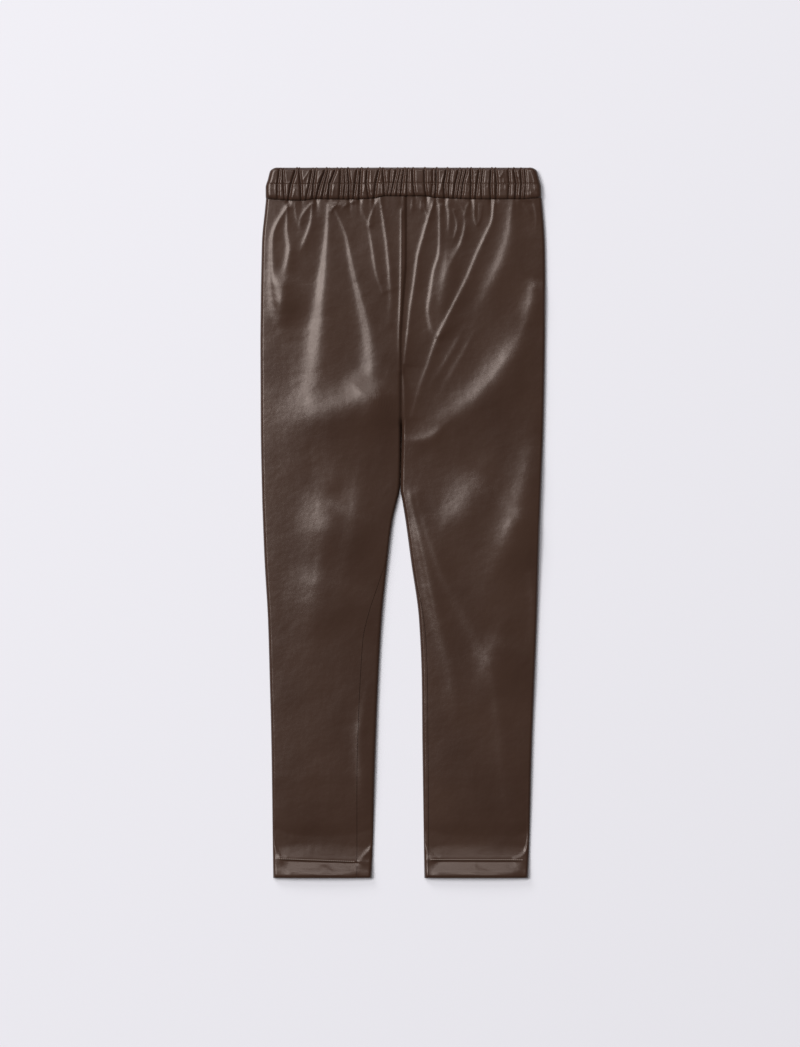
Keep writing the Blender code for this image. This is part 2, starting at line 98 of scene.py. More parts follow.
Section = namedtuple("Section", "y outer_left inner_left inner_right outer_right")
SECTIONS = (
    Section(0, -109.8, -26.3, 18.0, 105.9),
    Section(49, -110.4, -24.7, 17.3, 107.5),
    Section(116, -111.4, -22.6, 16.3, 109.4),
    Section(167, -112.7, -20.6, 15.8, 111.5),
    Section(218, -114.2, -17.6, 13.5, 113.5),
    Section(268, -117.1, -12.6, 6.7, 115.1),
    Section(302, -118.5, -8.4, 2.1, 116.2),
    Section(319, -119.1, -4.5, -0.7, 116.8),
    Section(328, -119.3, -2.6, -2.2, 117.2),
    Section(336, -119.5, -2, -2, 117.5),
    Section(378, -120.3, -1.3, -1.3, 118.9),
    Section(424, -120.5, -1.1, -1.1, 119.9),
    Section(454, -120.6, -1.0, -1.0, 120.3),
    Section(477, -120.4, 0.3, 0.3, 120.5),
    Section(495, -120.2, 1.6, 1.6, 120.6),
    Section(521, -119.7, 3.3, 3.3, 120.4),
    Section(539, -119.2, 3.3, 3.3, 120.0),
    Section(564, -116.8, 3.3, 3.3, 118.3),
    Section(573, -115.9, 3.3, 3.3, 117.4),
)

# How far round the leg's inner edge, from its middle, the inseam lies
Roll = namedtuple("Roll", "y left right")
ROLLS = (
    Roll(0, 14, 5),
    Roll(120, 17, 6),
    Roll(200, 16.5, 6),
    Roll(224, 13, 5),
    Roll(250, 7, 3),
    Roll(283, INSEAM_LIFT, INSEAM_LIFT),
    Roll(360, INSEAM_LIFT, INSEAM_LIFT),
    Roll(376, CROTCH_LIFT, CROTCH_LIFT),
    Roll(573, CROTCH_LIFT, CROTCH_LIFT),
)

# The hem's relief: how far the cloth stands above the legs between its creases, and outside them
HemRow = namedtuple("HemRow", "y middle corner")
HEM_ROWS = (
    HemRow(0, 2.1, 1.45),
    HemRow(2.5, 2.15, 1.5),
    HemRow(4.5, 1.9, 1.3),
    HemRow(9, 0.5, 0.55),
    HemRow(13, -0.8, 0.1),
    HemRow(13.7, -0.98, 0.05),
    HemRow(14.1, -0.96, 0),
    HemRow(15.1, -0.5, -0.12),
    HemRow(HEM_STITCHING, -0.4, -0.2),
    HemRow(16.4, -0.44, -0.4),
    HemRow(20, -1.05, -1.1),
    HemRow(24, -1.7, -1.4),
    HemRow(28, -2.2, -1.5),
    HemRow(32, -2.4, -1.5),
    HemRow(48, -1.2, -0.9),
    HemRow(85, 0, 0),
)

# Where the creases at the hem's two ends run, and the height of its stitching at x
HemEnd = namedtuple("HemEnd", "y left right")
LEFT_HEM_ENDS = (
    HemEnd(0, -98, -40),
    HemEnd(13, -99, -39),
    HemEnd(16.5, -103.5, -36),
    HemEnd(27.5, -108, -27),
    HemEnd(36, -108.6, -26.3),
)
RIGHT_HEM_ENDS = (
    HemEnd(0, 26, 96),
    HemEnd(13, 26, 97),
    HemEnd(17, 27, 97),
    HemEnd(21.6, 22, 102),
    HemEnd(27, 19.5, 104),
    HemEnd(36, 18.7, 105.2),
)
HEM_END_REACH = 2.4
HEM_END_SPREAD = 9.0
HEM_END_LOW = 15.0
LEFT_STITCHING = ((-108, 16.6), (-38.5, 14.0))
RIGHT_STITCHING = ((20, 15.8), (102, 15.5))
STITCHING_SHIFT_REACH = 12.0

# Rows of points up the panels: how many there are up to each height
Stretch = namedtuple("Stretch", "top rows")
STRETCHES = (
    Stretch(2.5, 6),
    Stretch(20, 34),
    Stretch(50, 20),
    Stretch(336, 90),
    Stretch(430, 60),
    Stretch(BAND_SEAM + BAND_TUCK, 150),
)

# The folds, each along its route from the waist's end down. The cloth climbs across the route to
# its right and sinks slowly beyond. Strong is how steep it climbs, as a share of FULL_SLOPE, and
# start and end are the shares of that at the route's ends. Wide and last are half the climb's
# width at the two ends, and back is how far the cloth takes to sink by half beyond it.
Fold = namedtuple("Fold", "route strong start end wide last back")
FULL_SLOPE = 0.25
FOLDS = (
    # left side, from the outseam to the centre
    Fold(((-98, 568), (-110, 546), (-111.5, 520.5), (-110, 497), (-106, 473)), 1, 0.85, 0.3, 1.2, 4, 5),
    Fold(((-98, 567), (-98.5, 546), (-97, 530.5), (-100.5, 512), (-104, 488.5)),
         0.95, 0.85, 0.4, 1.12, 5, 5),
    Fold(((-106.5, 515.5), (-106.5, 488.5), (-103, 463)), 0.68, 0.1, 0.1, 6, 7, 10),
    Fold(((-91.5, 569.5), (-90.5, 557.5), (-87.5, 552.5)), 0.6, 0.85, 0.6, 0.9, 0.9, 3),
    Fold(((-78, 569.5), (-84, 563), (-87.5, 554.5), (-87.5, 544)), 0.8, 0.85, 0.1, 0.98, 0.98, 3),
    Fold(((-77, 568.5), (-78.5, 553.5), (-84.5, 536.5), (-89.5, 524)), 0.9, 0.85, 0, 0.98, 2, 4),
    Fold(((-63.5, 568), (-65, 543.5), (-67.5, 518),
          (-71, 488.5), (-74, 459), (-77, 433.5), (-81, 404)),
         1, 0.85, 0.5, 1.2, 15, 20),
    Fold(((-60, 563), (-55, 570.5)), 0.8, 0.85, 0.6, 0.83, 0.83, 3),
    Fold(((-49, 567), (-43.5, 570), (-38, 568.5), (-29, 551)), 0.9, 0.85, 0.5, 0.98, 0.98, 3),
    Fold(((-23.5, 569.5), (-28.5, 557), (-29, 551)), 0.8, 0.85, 0.5, 0.83, 0.9, 3),
    Fold(((-29, 551), (-26.5, 532.5), (-23, 510.5), (-18, 495)), 0.95, 0.3, 0.5, 1.2, 1.35, 5),
    Fold(((-58.5, 566), (-49, 543.5), (-44, 518), (-38, 492.5),
          (-32.5, 470), (-29.5, 450.5), (-28.5, 430), (-29, 408)),
         1, 0.85, 0.5, 1.2, 11, 13),
    Fold(((-19.5, 572), (-17, 555), (-14, 532.5), (-12, 508.5), (-11, 489), (-13, 470)),
         1, 0.85, 0.2, 1.05, 2.5, 4),
    # centre
    Fold(((-1.5, 562), (-2, 516.5), (-2.6, 486), (-3.5, 458), (-2.6, 428.5)), 1.2, 0.7, 0.8, 1.0, 1.0, 1.6),
    Fold(((-0.4, 430), (0.6, 405), (0.8, 378)), 0.8, 0.7, 0.4, 0.8, 0.8, 2),
    Fold(((1.5, 553.5), (1, 522), (0.5, 497)), 0.8, 0.5, 0.1, 0.75, 0.75, 2),
    Fold(((7.5, 569.5), (6.5, 562)), 0.6, 0.85, 0.2, 0.83, 0.83, 2.5),
    Fold(((15, 569.5), (14, 561)), 0.6, 0.85, 0.2, 0.83, 0.83, 2.5),
    Fold(((27, 574), (21, 557), (16.5, 542.5), (12, 525.5),
          (9, 503.5), (6, 484), (3.5, 461.5), (0.5, 434.5)),
         1.05, 0.85, 0.9, 1.2, 0.9, 4),
    Fold(((17.5, 566), (20.5, 557)), 0.68, 0.85, 0.8, 0.9, 0.9, 3),
    # right side, from the centre to the outseam
    Fold(((30.5, 567), (30, 530.5), (25.5, 513), (22.5, 494.5), (20.5, 479), (23, 464.5), (28, 457)),
         0.95, 0.85, 0.6, 0.98, 2, 8),
    Fold(((27, 573), (34.5, 570.5), (38, 563.5), (38, 549.5), (39.5, 541)), 0.9, 0.85, 0.1, 0.98, 0.98, 3),
    Fold(((42.5, 563), (45, 552.5), (43.5, 543.5), (40.5, 534)), 0.8, 0.85, 0.1, 0.83, 0.83, 3),
    Fold(((45.5, 571.5), (49, 567), (51.5, 560.5)), 0.7, 0.85, 0.4, 0.83, 0.83, 2.5),
    Fold(((56.5, 571.5), (53, 566), (52, 559.5)), 0.7, 0.85, 0.4, 0.83, 0.83, 2.5),
    Fold(((51.5, 561), (51.5, 549.5), (47.5, 535), (41.5, 524.5), (35.5, 509.5)),
         0.85, 0.3, 0.2, 0.9, 2.5, 4),
    Fold(((60, 568.5), (60, 557), (62.5, 551), (66, 557), (67.5, 568)), 0.8, 0.85, 0.5, 0.83, 0.83, 2.5),
    Fold(((76, 569.5), (74.5, 555), (68.5, 541.5), (61, 525.5), (53, 506),
          (42, 484), (32, 464.5), (25.5, 449.5), (19.5, 431.5), (13.5, 415), (6.5, 390.5)),
         1, 0.85, 0.4, 1.27, 1.27, 6),
    Fold(((91.5, 568), (87.5, 540), (79, 517), (66, 490), (54, 466)), 0.65, 0.85, 0.1, 4.5, 8, 10),
    Fold(((37, 538), (35, 515), (31, 492), (29, 468)), 0.62, 0.2, 0.4, 5, 6, 9),
    Fold(((49.5, 461.5), (36.5, 439.5), (22, 415)), 0.41, 0.3, 0.2, 2, 2, 5),
    Fold(((59, 460.5), (44, 433.5), (28, 405.5)), 0.41, 0.3, 0.2, 2, 2, 5),
    Fold(((99.5, 572.5), (106.5, 571.5), (110, 568.5), (112, 557), (111, 545)),
         0.9, 0.85, 0.1, 0.9, 0.9, 3),
    Fold(((102, 568), (108, 557.5)), 0.61, 0.85, 0.2, 0.83, 0.83, 2.5),
    Fold(((109, 508), (106.5, 488), (101, 466)), 0.7, 0.05, 0.2, 4, 7, 10),
    Fold(((102, 468), (92, 449), (77, 428), (61, 411), (46, 398), (28, 388)), 0.8, 0.2, 0.5, 10, 10, 14),
    Fold(((37, 385), (22, 374), (7.5, 371.5), (1.5, 376)), 0.68, 0.3, 0.3, 3, 3, 6),
    # thighs and lower legs
    Fold(((66, 346), (47, 317), (26, 290)), 0.58, 0.2, 0.2, 15, 16, 22),
    Fold(((97, 318), (85, 288), (69, 256)), 0.4, 0.2, 0.2, 13, 14, 18),
    Fold(((108, 380), (102, 346), (92, 312), (80, 280), (66, 246)), 0.52, 0.2, 0.2, 13, 14, 18),
    Fold(((80, 212), (70, 184), (60, 150)), 0.5, 0.2, 0.2, 11, 11, 16),
    Fold(((-68, 330), (-76, 300), (-83, 270)), 0.46, 0.2, 0.2, 14, 14, 19),
    Fold(((-74, 266), (-80, 234), (-84, 200)), 0.42, 0.2, 0.2, 14, 14, 19),
    Fold(((-62, 318), (-66, 292), (-72, 262), (-70, 236)), 0.26, 0.2, 0.2, 10, 10, 15),
    Fold(((-38, 350), (-44, 310), (-50, 270), (-57, 235)), 0.38, 0.2, 0.2, 10, 11, 14),
    Fold(((-9, 438), (-24, 407), (-42, 376)), 0.36, 0.3, 0.2, 13, 13, 18),
    Fold(((-28, 430), (-42, 411), (-60, 400), (-84, 397)), 0.76, 0.2, 0.3, 14, 14, 20),
    Fold(((5, 322), (8.5, 304), (12, 287), (16.5, 266), (22, 238), (28.5, 210), (38, 174), (41.5, 146.5)),
         1.05, 0.6, 0.2, 2.4, 6, 10),
    Fold(((11, 322), (17, 300), (25, 275), (33, 252), (44, 232), (53, 215),
          (62, 196.5), (72.5, 174), (78.5, 133), (83.5, 79), (91.5, 35)),
         0.65, 0.4, 0.2, 3, 5, 12),
    Fold(((100.5, 257.5), (108, 244), (107.5, 201)), 0.47, 0.3, 0.3, 3, 3, 6),
    Fold(((-31, 160.5), (-39, 119.5), (-36.5, 79), (-33.5, 65.5)), 0.6, 0.3, 0.3, 3.5, 3.5, 8),
    # creases at the hems
    Fold(((-99, 17), (-103.5, 19), (-107.2, 27.5), (-108.4, 37)), 1.15, 0.9, 0.5, 1.0, 1.0, 2.5),
    Fold(((-26.8, 37), (-28, 27.5), (-37, 15)), 1.15, 0.8, 0.8, 1.0, 1.0, 2.5),
    Fold(((-46, 3.6), (-62, 3.1), (-80, 4.2), (-96, 3.4)), 0.8, 0, 0, 0.7, 0.7, 1.5),
    Fold(((31, 17), (25.4, 19.4), (20.6, 27), (19.2, 36)), 1.15, 0.9, 0.5, 1.0, 1.0, 2.5),
    Fold(((105.2, 36), (102.4, 22), (94, 16.5)), 1, 0.6, 0.8, 1, 1, 2),
    Fold(((92, 3.5), (70, 3), (48, 4), (30, 3.3)), 0.8, 0, 0, 0.7, 0.7, 1.5),
    Fold(((-68, 13), (-70, 7), (-71, 1)), 0.25, 0.4, 0.4, 2.5, 3, 6),
    Fold(((60, 13), (58, 7), (56, 1)), 0.25, 0.4, 0.4, 2.5, 3, 6),
)
# The shares of a route over which a fold grows and fades, how many widths away it still counts,
# and how its width changes along the route. Part of the climb is a wider foot. The far side sinks
# faster near the start.
FOLD_START = 0.3
FOLD_FINISH = 0.5
FOLD_SPREAD = 8.5
FOLD_WIDENING = 2.2
FOOT_SPREAD = 2.5
FOOT_SHARE = 0.35
BACK_START = 0.25
BACK_FULL = 0.45

# The waistband is a flattened loop round a thin gap
BAND_CORE = 4.1
BAND_HALF_GAP = 0.5
BAND_CORNER = 4.2
BAND_ROLL = 3.3
BAND_COLUMNS = 860
BAND_CORNER_STEPS = 12
BAND_UNDER_COLUMNS = 120
BAND_ROWS_UP = 58
BAND_ROLL_STEPS = 9
BAND_FOOT_SHARE = 0.35
BAND_LINING_LIFT = 0.3
GROOVE_REACH = 1.2
GROOVE_SHARE = 1.6
BAND_NOTCH = 0.9
BAND_NOTCH_FADE = 0.03

# Puckers of the panels under the waistband, where its deepest gathers are. A higher choice leaves
# fewer of them.
PUCKER_DEPTH = 0.8
PUCKER_CHOICE = 12
PUCKER_REACH = 1.8
PUCKER_LENGTH = 5.0

# The waistband's side edges
BandEdge = namedtuple("BandEdge", "y left right")
BAND_EDGES = (
    BandEdge(573, -116.0, 117.0),
    BandEdge(583, -116.1, 116.7),
    BandEdge(590, -114.2, 115.1),
    BandEdge(596.5, -112.5, 113.3),
    BandEdge(600, -110.4, 111.3),
)

# The waistband's thickness in front and under, at heights y up to its rolled top edge
BandRow = namedtuple("BandRow", "y front under")
BAND_ROWS = (
    BandRow(573.0, 1.4, 3.0),
    BandRow(573.9, 2.75, 3.5),
    BandRow(575.0, 3.35, 3.6),
    BandRow(577.0, 3.6, 3.6),
    BandRow(581.0, 3.6, 3.6),
    BandRow(585.5, 3.4, 3.6),
    BandRow(BAND_STITCHING, 3.4, 3.6),
    BandRow(586.9, 3.65, 3.6),
    BandRow(592.5, 3.65, 3.6),
    BandRow(596.7, 3.6, 3.6),
)

# How far the seam under the waistband wanders from BAND_SEAM at x
Wave = namedtuple("Wave", "x shift")
SEAM_WAVES = (
    Wave(-115, 0.4),
    Wave(-100, -1.1),
    Wave(-84.5, -1.5),
    Wave(-74.5, -0.3),
    Wave(-53, -0.5),
    Wave(-40.5, -0.5),
    Wave(-23.5, 0.6),
    Wave(-15, 2.3),
    Wave(18.5, 2.3),
    Wave(27, 0.9),
    Wave(44, 0.2),
    Wave(60, -0.3),
    Wave(99, -0.3),
    Wave(116, 1.2),
)
WAVE_REACH = 9.0

# The gathers' grooves across the waistband, at its seam, its stitching and its top edge
Gather = namedtuple("Gather", "seam stitch top depth")
GATHERS = (
    Gather(-105.5, -105.5, -103.5, 0.7),
    Gather(-99.5, -100.5, -101.0, 0.6),
    Gather(-96.5, -94.0, -89.5, 1.0),
    Gather(-85.5, -86.0, -87.5, 0.9),
    Gather(-81.5, -78.5, -76.0, 0.7),
    Gather(-76.0, -75.0, -73.0, 0.8),
    Gather(-73.0, -69.5, -64.5, 1.0),
    Gather(-68.0, -65.5, -62.0, 0.7),
    Gather(-62.5, -61.5, -55.5, 0.9),
    Gather(-53.5, -52.5, -52.0, 0.8),
    Gather(-49.5, -48.5, -49.5, 0.6),
    Gather(-45.0, -45.0, -46.5, 1.0),
    Gather(-41.5, -40.0, -38.0, 0.8),
    Gather(-36.5, -36.0, -35.0, 1.0),
    Gather(-28.5, -30.5, -29.5, 0.9),
    Gather(-24.0, -22.5, -19.5, 1.0),
    Gather(-15.0, -15.5, -17.0, 0.8),
    Gather(-13.0, -11.0, -10.0, 0.6),
    Gather(-10.0, -7.5, -4.5, 0.8),
    Gather(-5.0, -4.0, -1.0, 0.6),
    Gather(-1.5, -0.5, 1.5, 0.9),
    Gather(4.0, 4.0, 4.5, 0.7),
    Gather(10.5, 9.0, 8.5, 0.9),
    Gather(20.0, 18.5, 18.5, 1.0),
    Gather(24.0, 25.5, 25.5, 0.5),
    Gather(27.5, 28.5, 28.5, 1.0),
    Gather(35.5, 35.0, 37.5, 1.0),
    Gather(39.0, 39.5, 41.0, 0.5),
    Gather(43.0, 44.5, 48.0, 0.8),
    Gather(46.0, 48.0, 51.0, 0.6),
    Gather(49.5, 51.0, 54.5, 0.8),
    Gather(57.5, 58.0, 57.5, 1.0),
    Gather(61.5, 63.0, 65.0, 0.8),
    Gather(67.0, 66.5, 68.0, 0.6),
    Gather(74.5, 74.0, 75.0, 1.0),
    Gather(79.0, 79.5, 78.0, 0.9),
    Gather(89.0, 90.0, 89.0, 0.7),
    Gather(95.0, 96.0, 93.5, 0.9),
    Gather(99.5, 100.5, 99.5, 0.8),
    Gather(103.0, 104.0, 103.0, 0.6),
)

# The creases between the grooves, given as the folds are
BAND_FOLDS = (
    Fold(((-105, 597.5), (-107, 589), (-108, 584), (-107.5, 577)), 1.14, 0.9, 0.8, 0.44, 0.44, 1),
    Fold(((-99, 597), (-99.5, 591), (-97, 586.5)), 0.9, 0.9, 0.8, 0.38, 0.38, 0.8),
    Fold(((-90.5, 597.5), (-94, 589.5), (-97, 586.5)), 1.02, 0.9, 0.8, 0.49, 0.49, 1.1),
    Fold(((-87, 597.5), (-86, 593), (-85, 589)), 0.67, 0.9, 0.8, 0.36, 0.36, 1),
    Fold(((-80, 596), (-85, 589)), 0.92, 0.9, 0.8, 0.44, 0.44, 0.8),
    Fold(((-79, 594.5), (-81, 586.5), (-81, 581.5), (-80.5, 574)), 1.14, 0.9, 0.8, 0.38, 0.38, 1.1),
    Fold(((-66.5, 597), (-71.5, 591), (-73.5, 584), (-74, 579.5)), 0.9, 0.9, 0.8, 0.49, 0.49, 1),
    Fold(((-70, 581.5), (-73, 576.5)), 0.87, 0.9, 0.8, 0.36, 0.36, 0.8),
    Fold(((-55.5, 597), (-60.5, 592.5), (-62.5, 591), (-64, 582.5), (-65.5, 577.5)),
         0.92, 0.9, 0.8, 0.44, 0.44, 1.1),
    Fold(((-58, 585), (-60, 579), (-60.5, 574)), 1.07, 0.9, 0.8, 0.38, 0.38, 1),
    Fold(((-91.5, 581.5), (-94, 575.5)), 0.95, 0.9, 0.8, 0.49, 0.49, 0.8),
    Fold(((-91.5, 581.5), (-87, 573)), 0.77, 0.9, 0.8, 0.36, 0.36, 1.1),
    Fold(((-76, 583.5), (-78, 578), (-79, 574.5)), 0.87, 0.9, 0.8, 0.44, 0.44, 1),
    Fold(((-103.5, 580.5), (-103.5, 575)), 0.67, 0.9, 0.8, 0.38, 0.38, 0.8),
    Fold(((-101.5, 579.5), (-101.5, 573)), 0.92, 0.9, 0.8, 0.49, 0.49, 1.1),
    Fold(((-50, 597.5), (-50, 587), (-51.5, 580.5)), 1.14, 0.9, 0.8, 0.36, 0.36, 1),
    Fold(((-47.5, 580), (-49, 574.5)), 0.77, 0.9, 0.8, 0.44, 0.44, 0.8),
    Fold(((-46, 596), (-43.5, 587.5), (-44, 580.5)), 1.02, 0.9, 0.8, 0.38, 0.38, 1.1),
    Fold(((-39.5, 591), (-42.5, 586)), 0.67, 0.9, 0.8, 0.49, 0.49, 1),
    Fold(((-31.5, 597), (-33, 587)), 0.92, 0.9, 0.8, 0.36, 0.36, 0.8),
    Fold(((-32.5, 585), (-34, 579)), 0.95, 0.9, 0.8, 0.44, 0.44, 1.1),
    Fold(((-32.5, 585), (-30, 578.5)), 0.77, 0.9, 0.8, 0.38, 0.38, 1),
    Fold(((-27.5, 596.5), (-27.5, 580.5)), 1.02, 0.9, 0.8, 0.49, 0.49, 0.8),
    Fold(((-22.5, 597), (-24.5, 589.5), (-25.5, 584), (-24.5, 576.5)), 0.79, 0.9, 0.8, 0.36, 0.36, 1.1),
    Fold(((-19, 595.5), (-20, 589.5)), 0.92, 0.9, 0.8, 0.44, 0.44, 1),
    Fold(((-21.5, 584), (-21.5, 576)), 0.95, 0.9, 0.8, 0.38, 0.38, 0.8),
    Fold(((-18, 584), (-18, 576)), 0.77, 0.9, 0.8, 0.49, 0.49, 1.1),
    Fold(((-15, 597.5), (-12, 592.5), (-12, 587.5), (-13.5, 579.5), (-14.5, 576.5)),
         1.02, 0.9, 0.8, 0.36, 0.36, 1),
    Fold(((-7.5, 593), (-9, 588), (-11.5, 580.5)), 0.79, 0.9, 0.8, 0.44, 0.44, 0.8),
    Fold(((-1, 593.5), (-3, 587), (-3, 580.5)), 1.07, 0.9, 0.8, 0.38, 0.38, 1.1),
    Fold(((-6, 582), (-10, 576.5)), 0.95, 0.9, 0.8, 0.49, 0.49, 1),
    Fold(((-6, 582), (-5, 577)), 0.77, 0.9, 0.8, 0.36, 0.36, 0.8),
    Fold(((2, 597.5), (1.5, 587), (2.5, 578)), 1.02, 0.9, 0.8, 0.44, 0.44, 1.1),
    Fold(((4.5, 580.5), (5.5, 576.5)), 0.67, 0.9, 0.8, 0.38, 0.38, 1),
    Fold(((9, 594.5), (9.5, 586.5), (11, 577)), 1.07, 0.9, 0.8, 0.49, 0.49, 0.8),
    Fold(((16.5, 596), (17, 587), (18.5, 578)), 1.14, 0.9, 0.8, 0.36, 0.36, 1.1),
    Fold(((20, 596), (19.5, 588.5), (21, 578)), 0.9, 0.9, 0.8, 0.44, 0.44, 1),
    Fold(((23, 591.5), (23, 587)), 0.87, 0.9, 0.8, 0.38, 0.38, 0.8),
    Fold(((23.5, 583), (23.5, 579)), 0.67, 0.9, 0.8, 0.49, 0.49, 1.1),
    Fold(((26.5, 597), (26.5, 587), (26.5, 578)), 1.07, 0.9, 0.8, 0.36, 0.36, 1),
    Fold(((35, 596), (33, 590.5), (31, 580.5)), 1.14, 0.9, 0.8, 0.44, 0.44, 0.8),
    Fold(((29, 585.5), (28.5, 576.5)), 0.77, 0.9, 0.8, 0.38, 0.38, 1.1),
    Fold(((36.5, 580.5), (37.5, 574.5)), 0.87, 0.9, 0.8, 0.49, 0.49, 1),
    Fold(((47, 596.5), (42, 586.5), (42, 578)), 0.79, 0.9, 0.8, 0.36, 0.36, 0.8),
    Fold(((39.5, 590), (41.5, 585.5)), 0.92, 0.9, 0.8, 0.44, 0.44, 1.1),
    Fold(((52.5, 597), (49.5, 589.5), (48, 579.5)), 1.14, 0.9, 0.8, 0.38, 0.38, 1),
    Fold(((58, 589), (55, 579.5)), 0.77, 0.9, 0.8, 0.49, 0.49, 0.8),
    Fold(((53, 591.5), (52, 579)), 1.02, 0.9, 0.8, 0.36, 0.36, 1.1),
    Fold(((59, 596.5), (61.5, 593.5), (61, 587)), 0.67, 0.9, 0.8, 0.44, 0.44, 1),
    Fold(((64.5, 597.5), (61.5, 593.5)), 0.92, 0.9, 0.8, 0.38, 0.38, 0.8),
    Fold(((65.5, 590.5), (64.5, 583), (68.5, 584)), 0.95, 0.9, 0.8, 0.49, 0.49, 1.1),
    Fold(((73, 596.5), (71, 583.5)), 0.9, 0.9, 0.8, 0.36, 0.36, 1),
    Fold(((75.5, 591.5), (75.5, 576.5)), 1.02, 0.9, 0.8, 0.44, 0.44, 0.8),
    Fold(((78, 598.5), (81.5, 592)), 0.67, 0.9, 0.8, 0.38, 0.38, 1.1),
    Fold(((84.5, 596.5), (81.5, 592)), 0.92, 0.9, 0.8, 0.49, 0.49, 1),
    Fold(((84.5, 590), (84.5, 586.5)), 0.95, 0.9, 0.8, 0.36, 0.36, 0.8),
    Fold(((88.5, 590), (88.5, 586.5)), 0.77, 0.9, 0.8, 0.44, 0.44, 1.1),
    Fold(((86, 585.5), (86, 581.5)), 0.87, 0.9, 0.8, 0.38, 0.38, 1),
    Fold(((91.5, 598.5), (97, 591), (98, 585.5), (98, 574)), 0.79, 0.9, 0.8, 0.49, 0.49, 0.8),
    Fold(((99.5, 597.5), (97, 592)), 0.92, 0.9, 0.8, 0.36, 0.36, 1.1),
    Fold(((101.5, 597.5), (103.5, 587), (104.5, 580.5)), 1.14, 0.9, 0.8, 0.44, 0.44, 1),
    Fold(((107, 597.5), (109.5, 591), (111, 580.5)), 0.9, 0.9, 0.8, 0.38, 0.38, 0.8),
    Fold(((93, 580), (93, 576)), 0.87, 0.9, 0.8, 0.49, 0.49, 1.1),
    Fold(((100.5, 579), (100.5, 575)), 0.67, 0.9, 0.8, 0.36, 0.36, 1),
    Fold(((107.5, 580), (107.5, 576)), 0.92, 0.9, 0.8, 0.44, 0.44, 0.8),
)

LEFT, RIGHT = -1, 1
SIDE_NAMES = {LEFT: "left", RIGHT: "right"}


def column(rows, name):
    """One named column of a table, as an array."""
    return np.array([getattr(row, name) for row in rows], float)


def follow(at, rows, name):
    """A table's column where its first column is at, on a curve that never overshoots its rows."""
    knots = column(rows, rows[0]._fields[0])
    values = column(rows, name)
    secants = np.diff(values) / np.diff(knots)
    product = secants[:-1] * secants[1:]
    total = secants[:-1] + secants[1:]
    same_way = product > 0
    middle = np.where(same_way, 2 * product / np.where(same_way, total, 1), 0)
    slopes = np.concatenate([secants[:1], middle, secants[-1:]])
    below = np.clip(np.searchsorted(knots, at) - 1, 0, len(knots) - 2)
    span = knots[below + 1] - knots[below]
    share = np.clip((at - knots[below]) / span, 0, 1)
    rise = share**2 * (3 - 2 * share)
    start_pull = share * (1 - share) ** 2 * span * slopes[below]
    end_pull = share**2 * (share - 1) * span * slopes[below + 1]
    return (1 - rise) * values[below] + rise * values[below + 1] + start_pull + end_pull


def smooth_step(share):
    share = np.clip(share, 0, 1)
    return share**2 * (3 - 2 * share)


def leg_share(y):
    """1 where the legs are apart, 0 well above the crotch, where left and right are sewn."""
    return 1 - smooth_step((y - CROTCH) / CROTCH_BLEND)


def outer_edge(side, y):
    return follow(y, SECTIONS, "outer_" + SIDE_NAMES[side])


def inner_edge(side, y):
    return follow(y, SECTIONS, "inner_" + SIDE_NAMES[side])


def back_seam(y):
    """The centre back seam runs straight from the crotch to the middle of the waist."""
    return inner_edge(LEFT, CROTCH) * (BAND_SEAM - np.maximum(y, CROTCH)) / (BAND_SEAM - CROTCH)


def curve_through(route, steps):
    """Points on a smooth curve that passes through the route's points."""
    points = np.array(route, float)
    first = 2 * points[0] - points[1]
    last = 2 * points[-1] - points[-2]
    points = np.vstack([first, points, last])
    found = []
    for a, b, c, d in zip(points, points[1:], points[2:], points[3:]):
        for step in range(steps):
            t = step / steps
            bend = (2 * a - 5 * b + 4 * c - d) * t**2 + (3 * b - a - 3 * c + d) * t**3
            found.append(b + ((c - a) * t + bend) / 2)
    found.append(points[-2])
    return np.array(found)


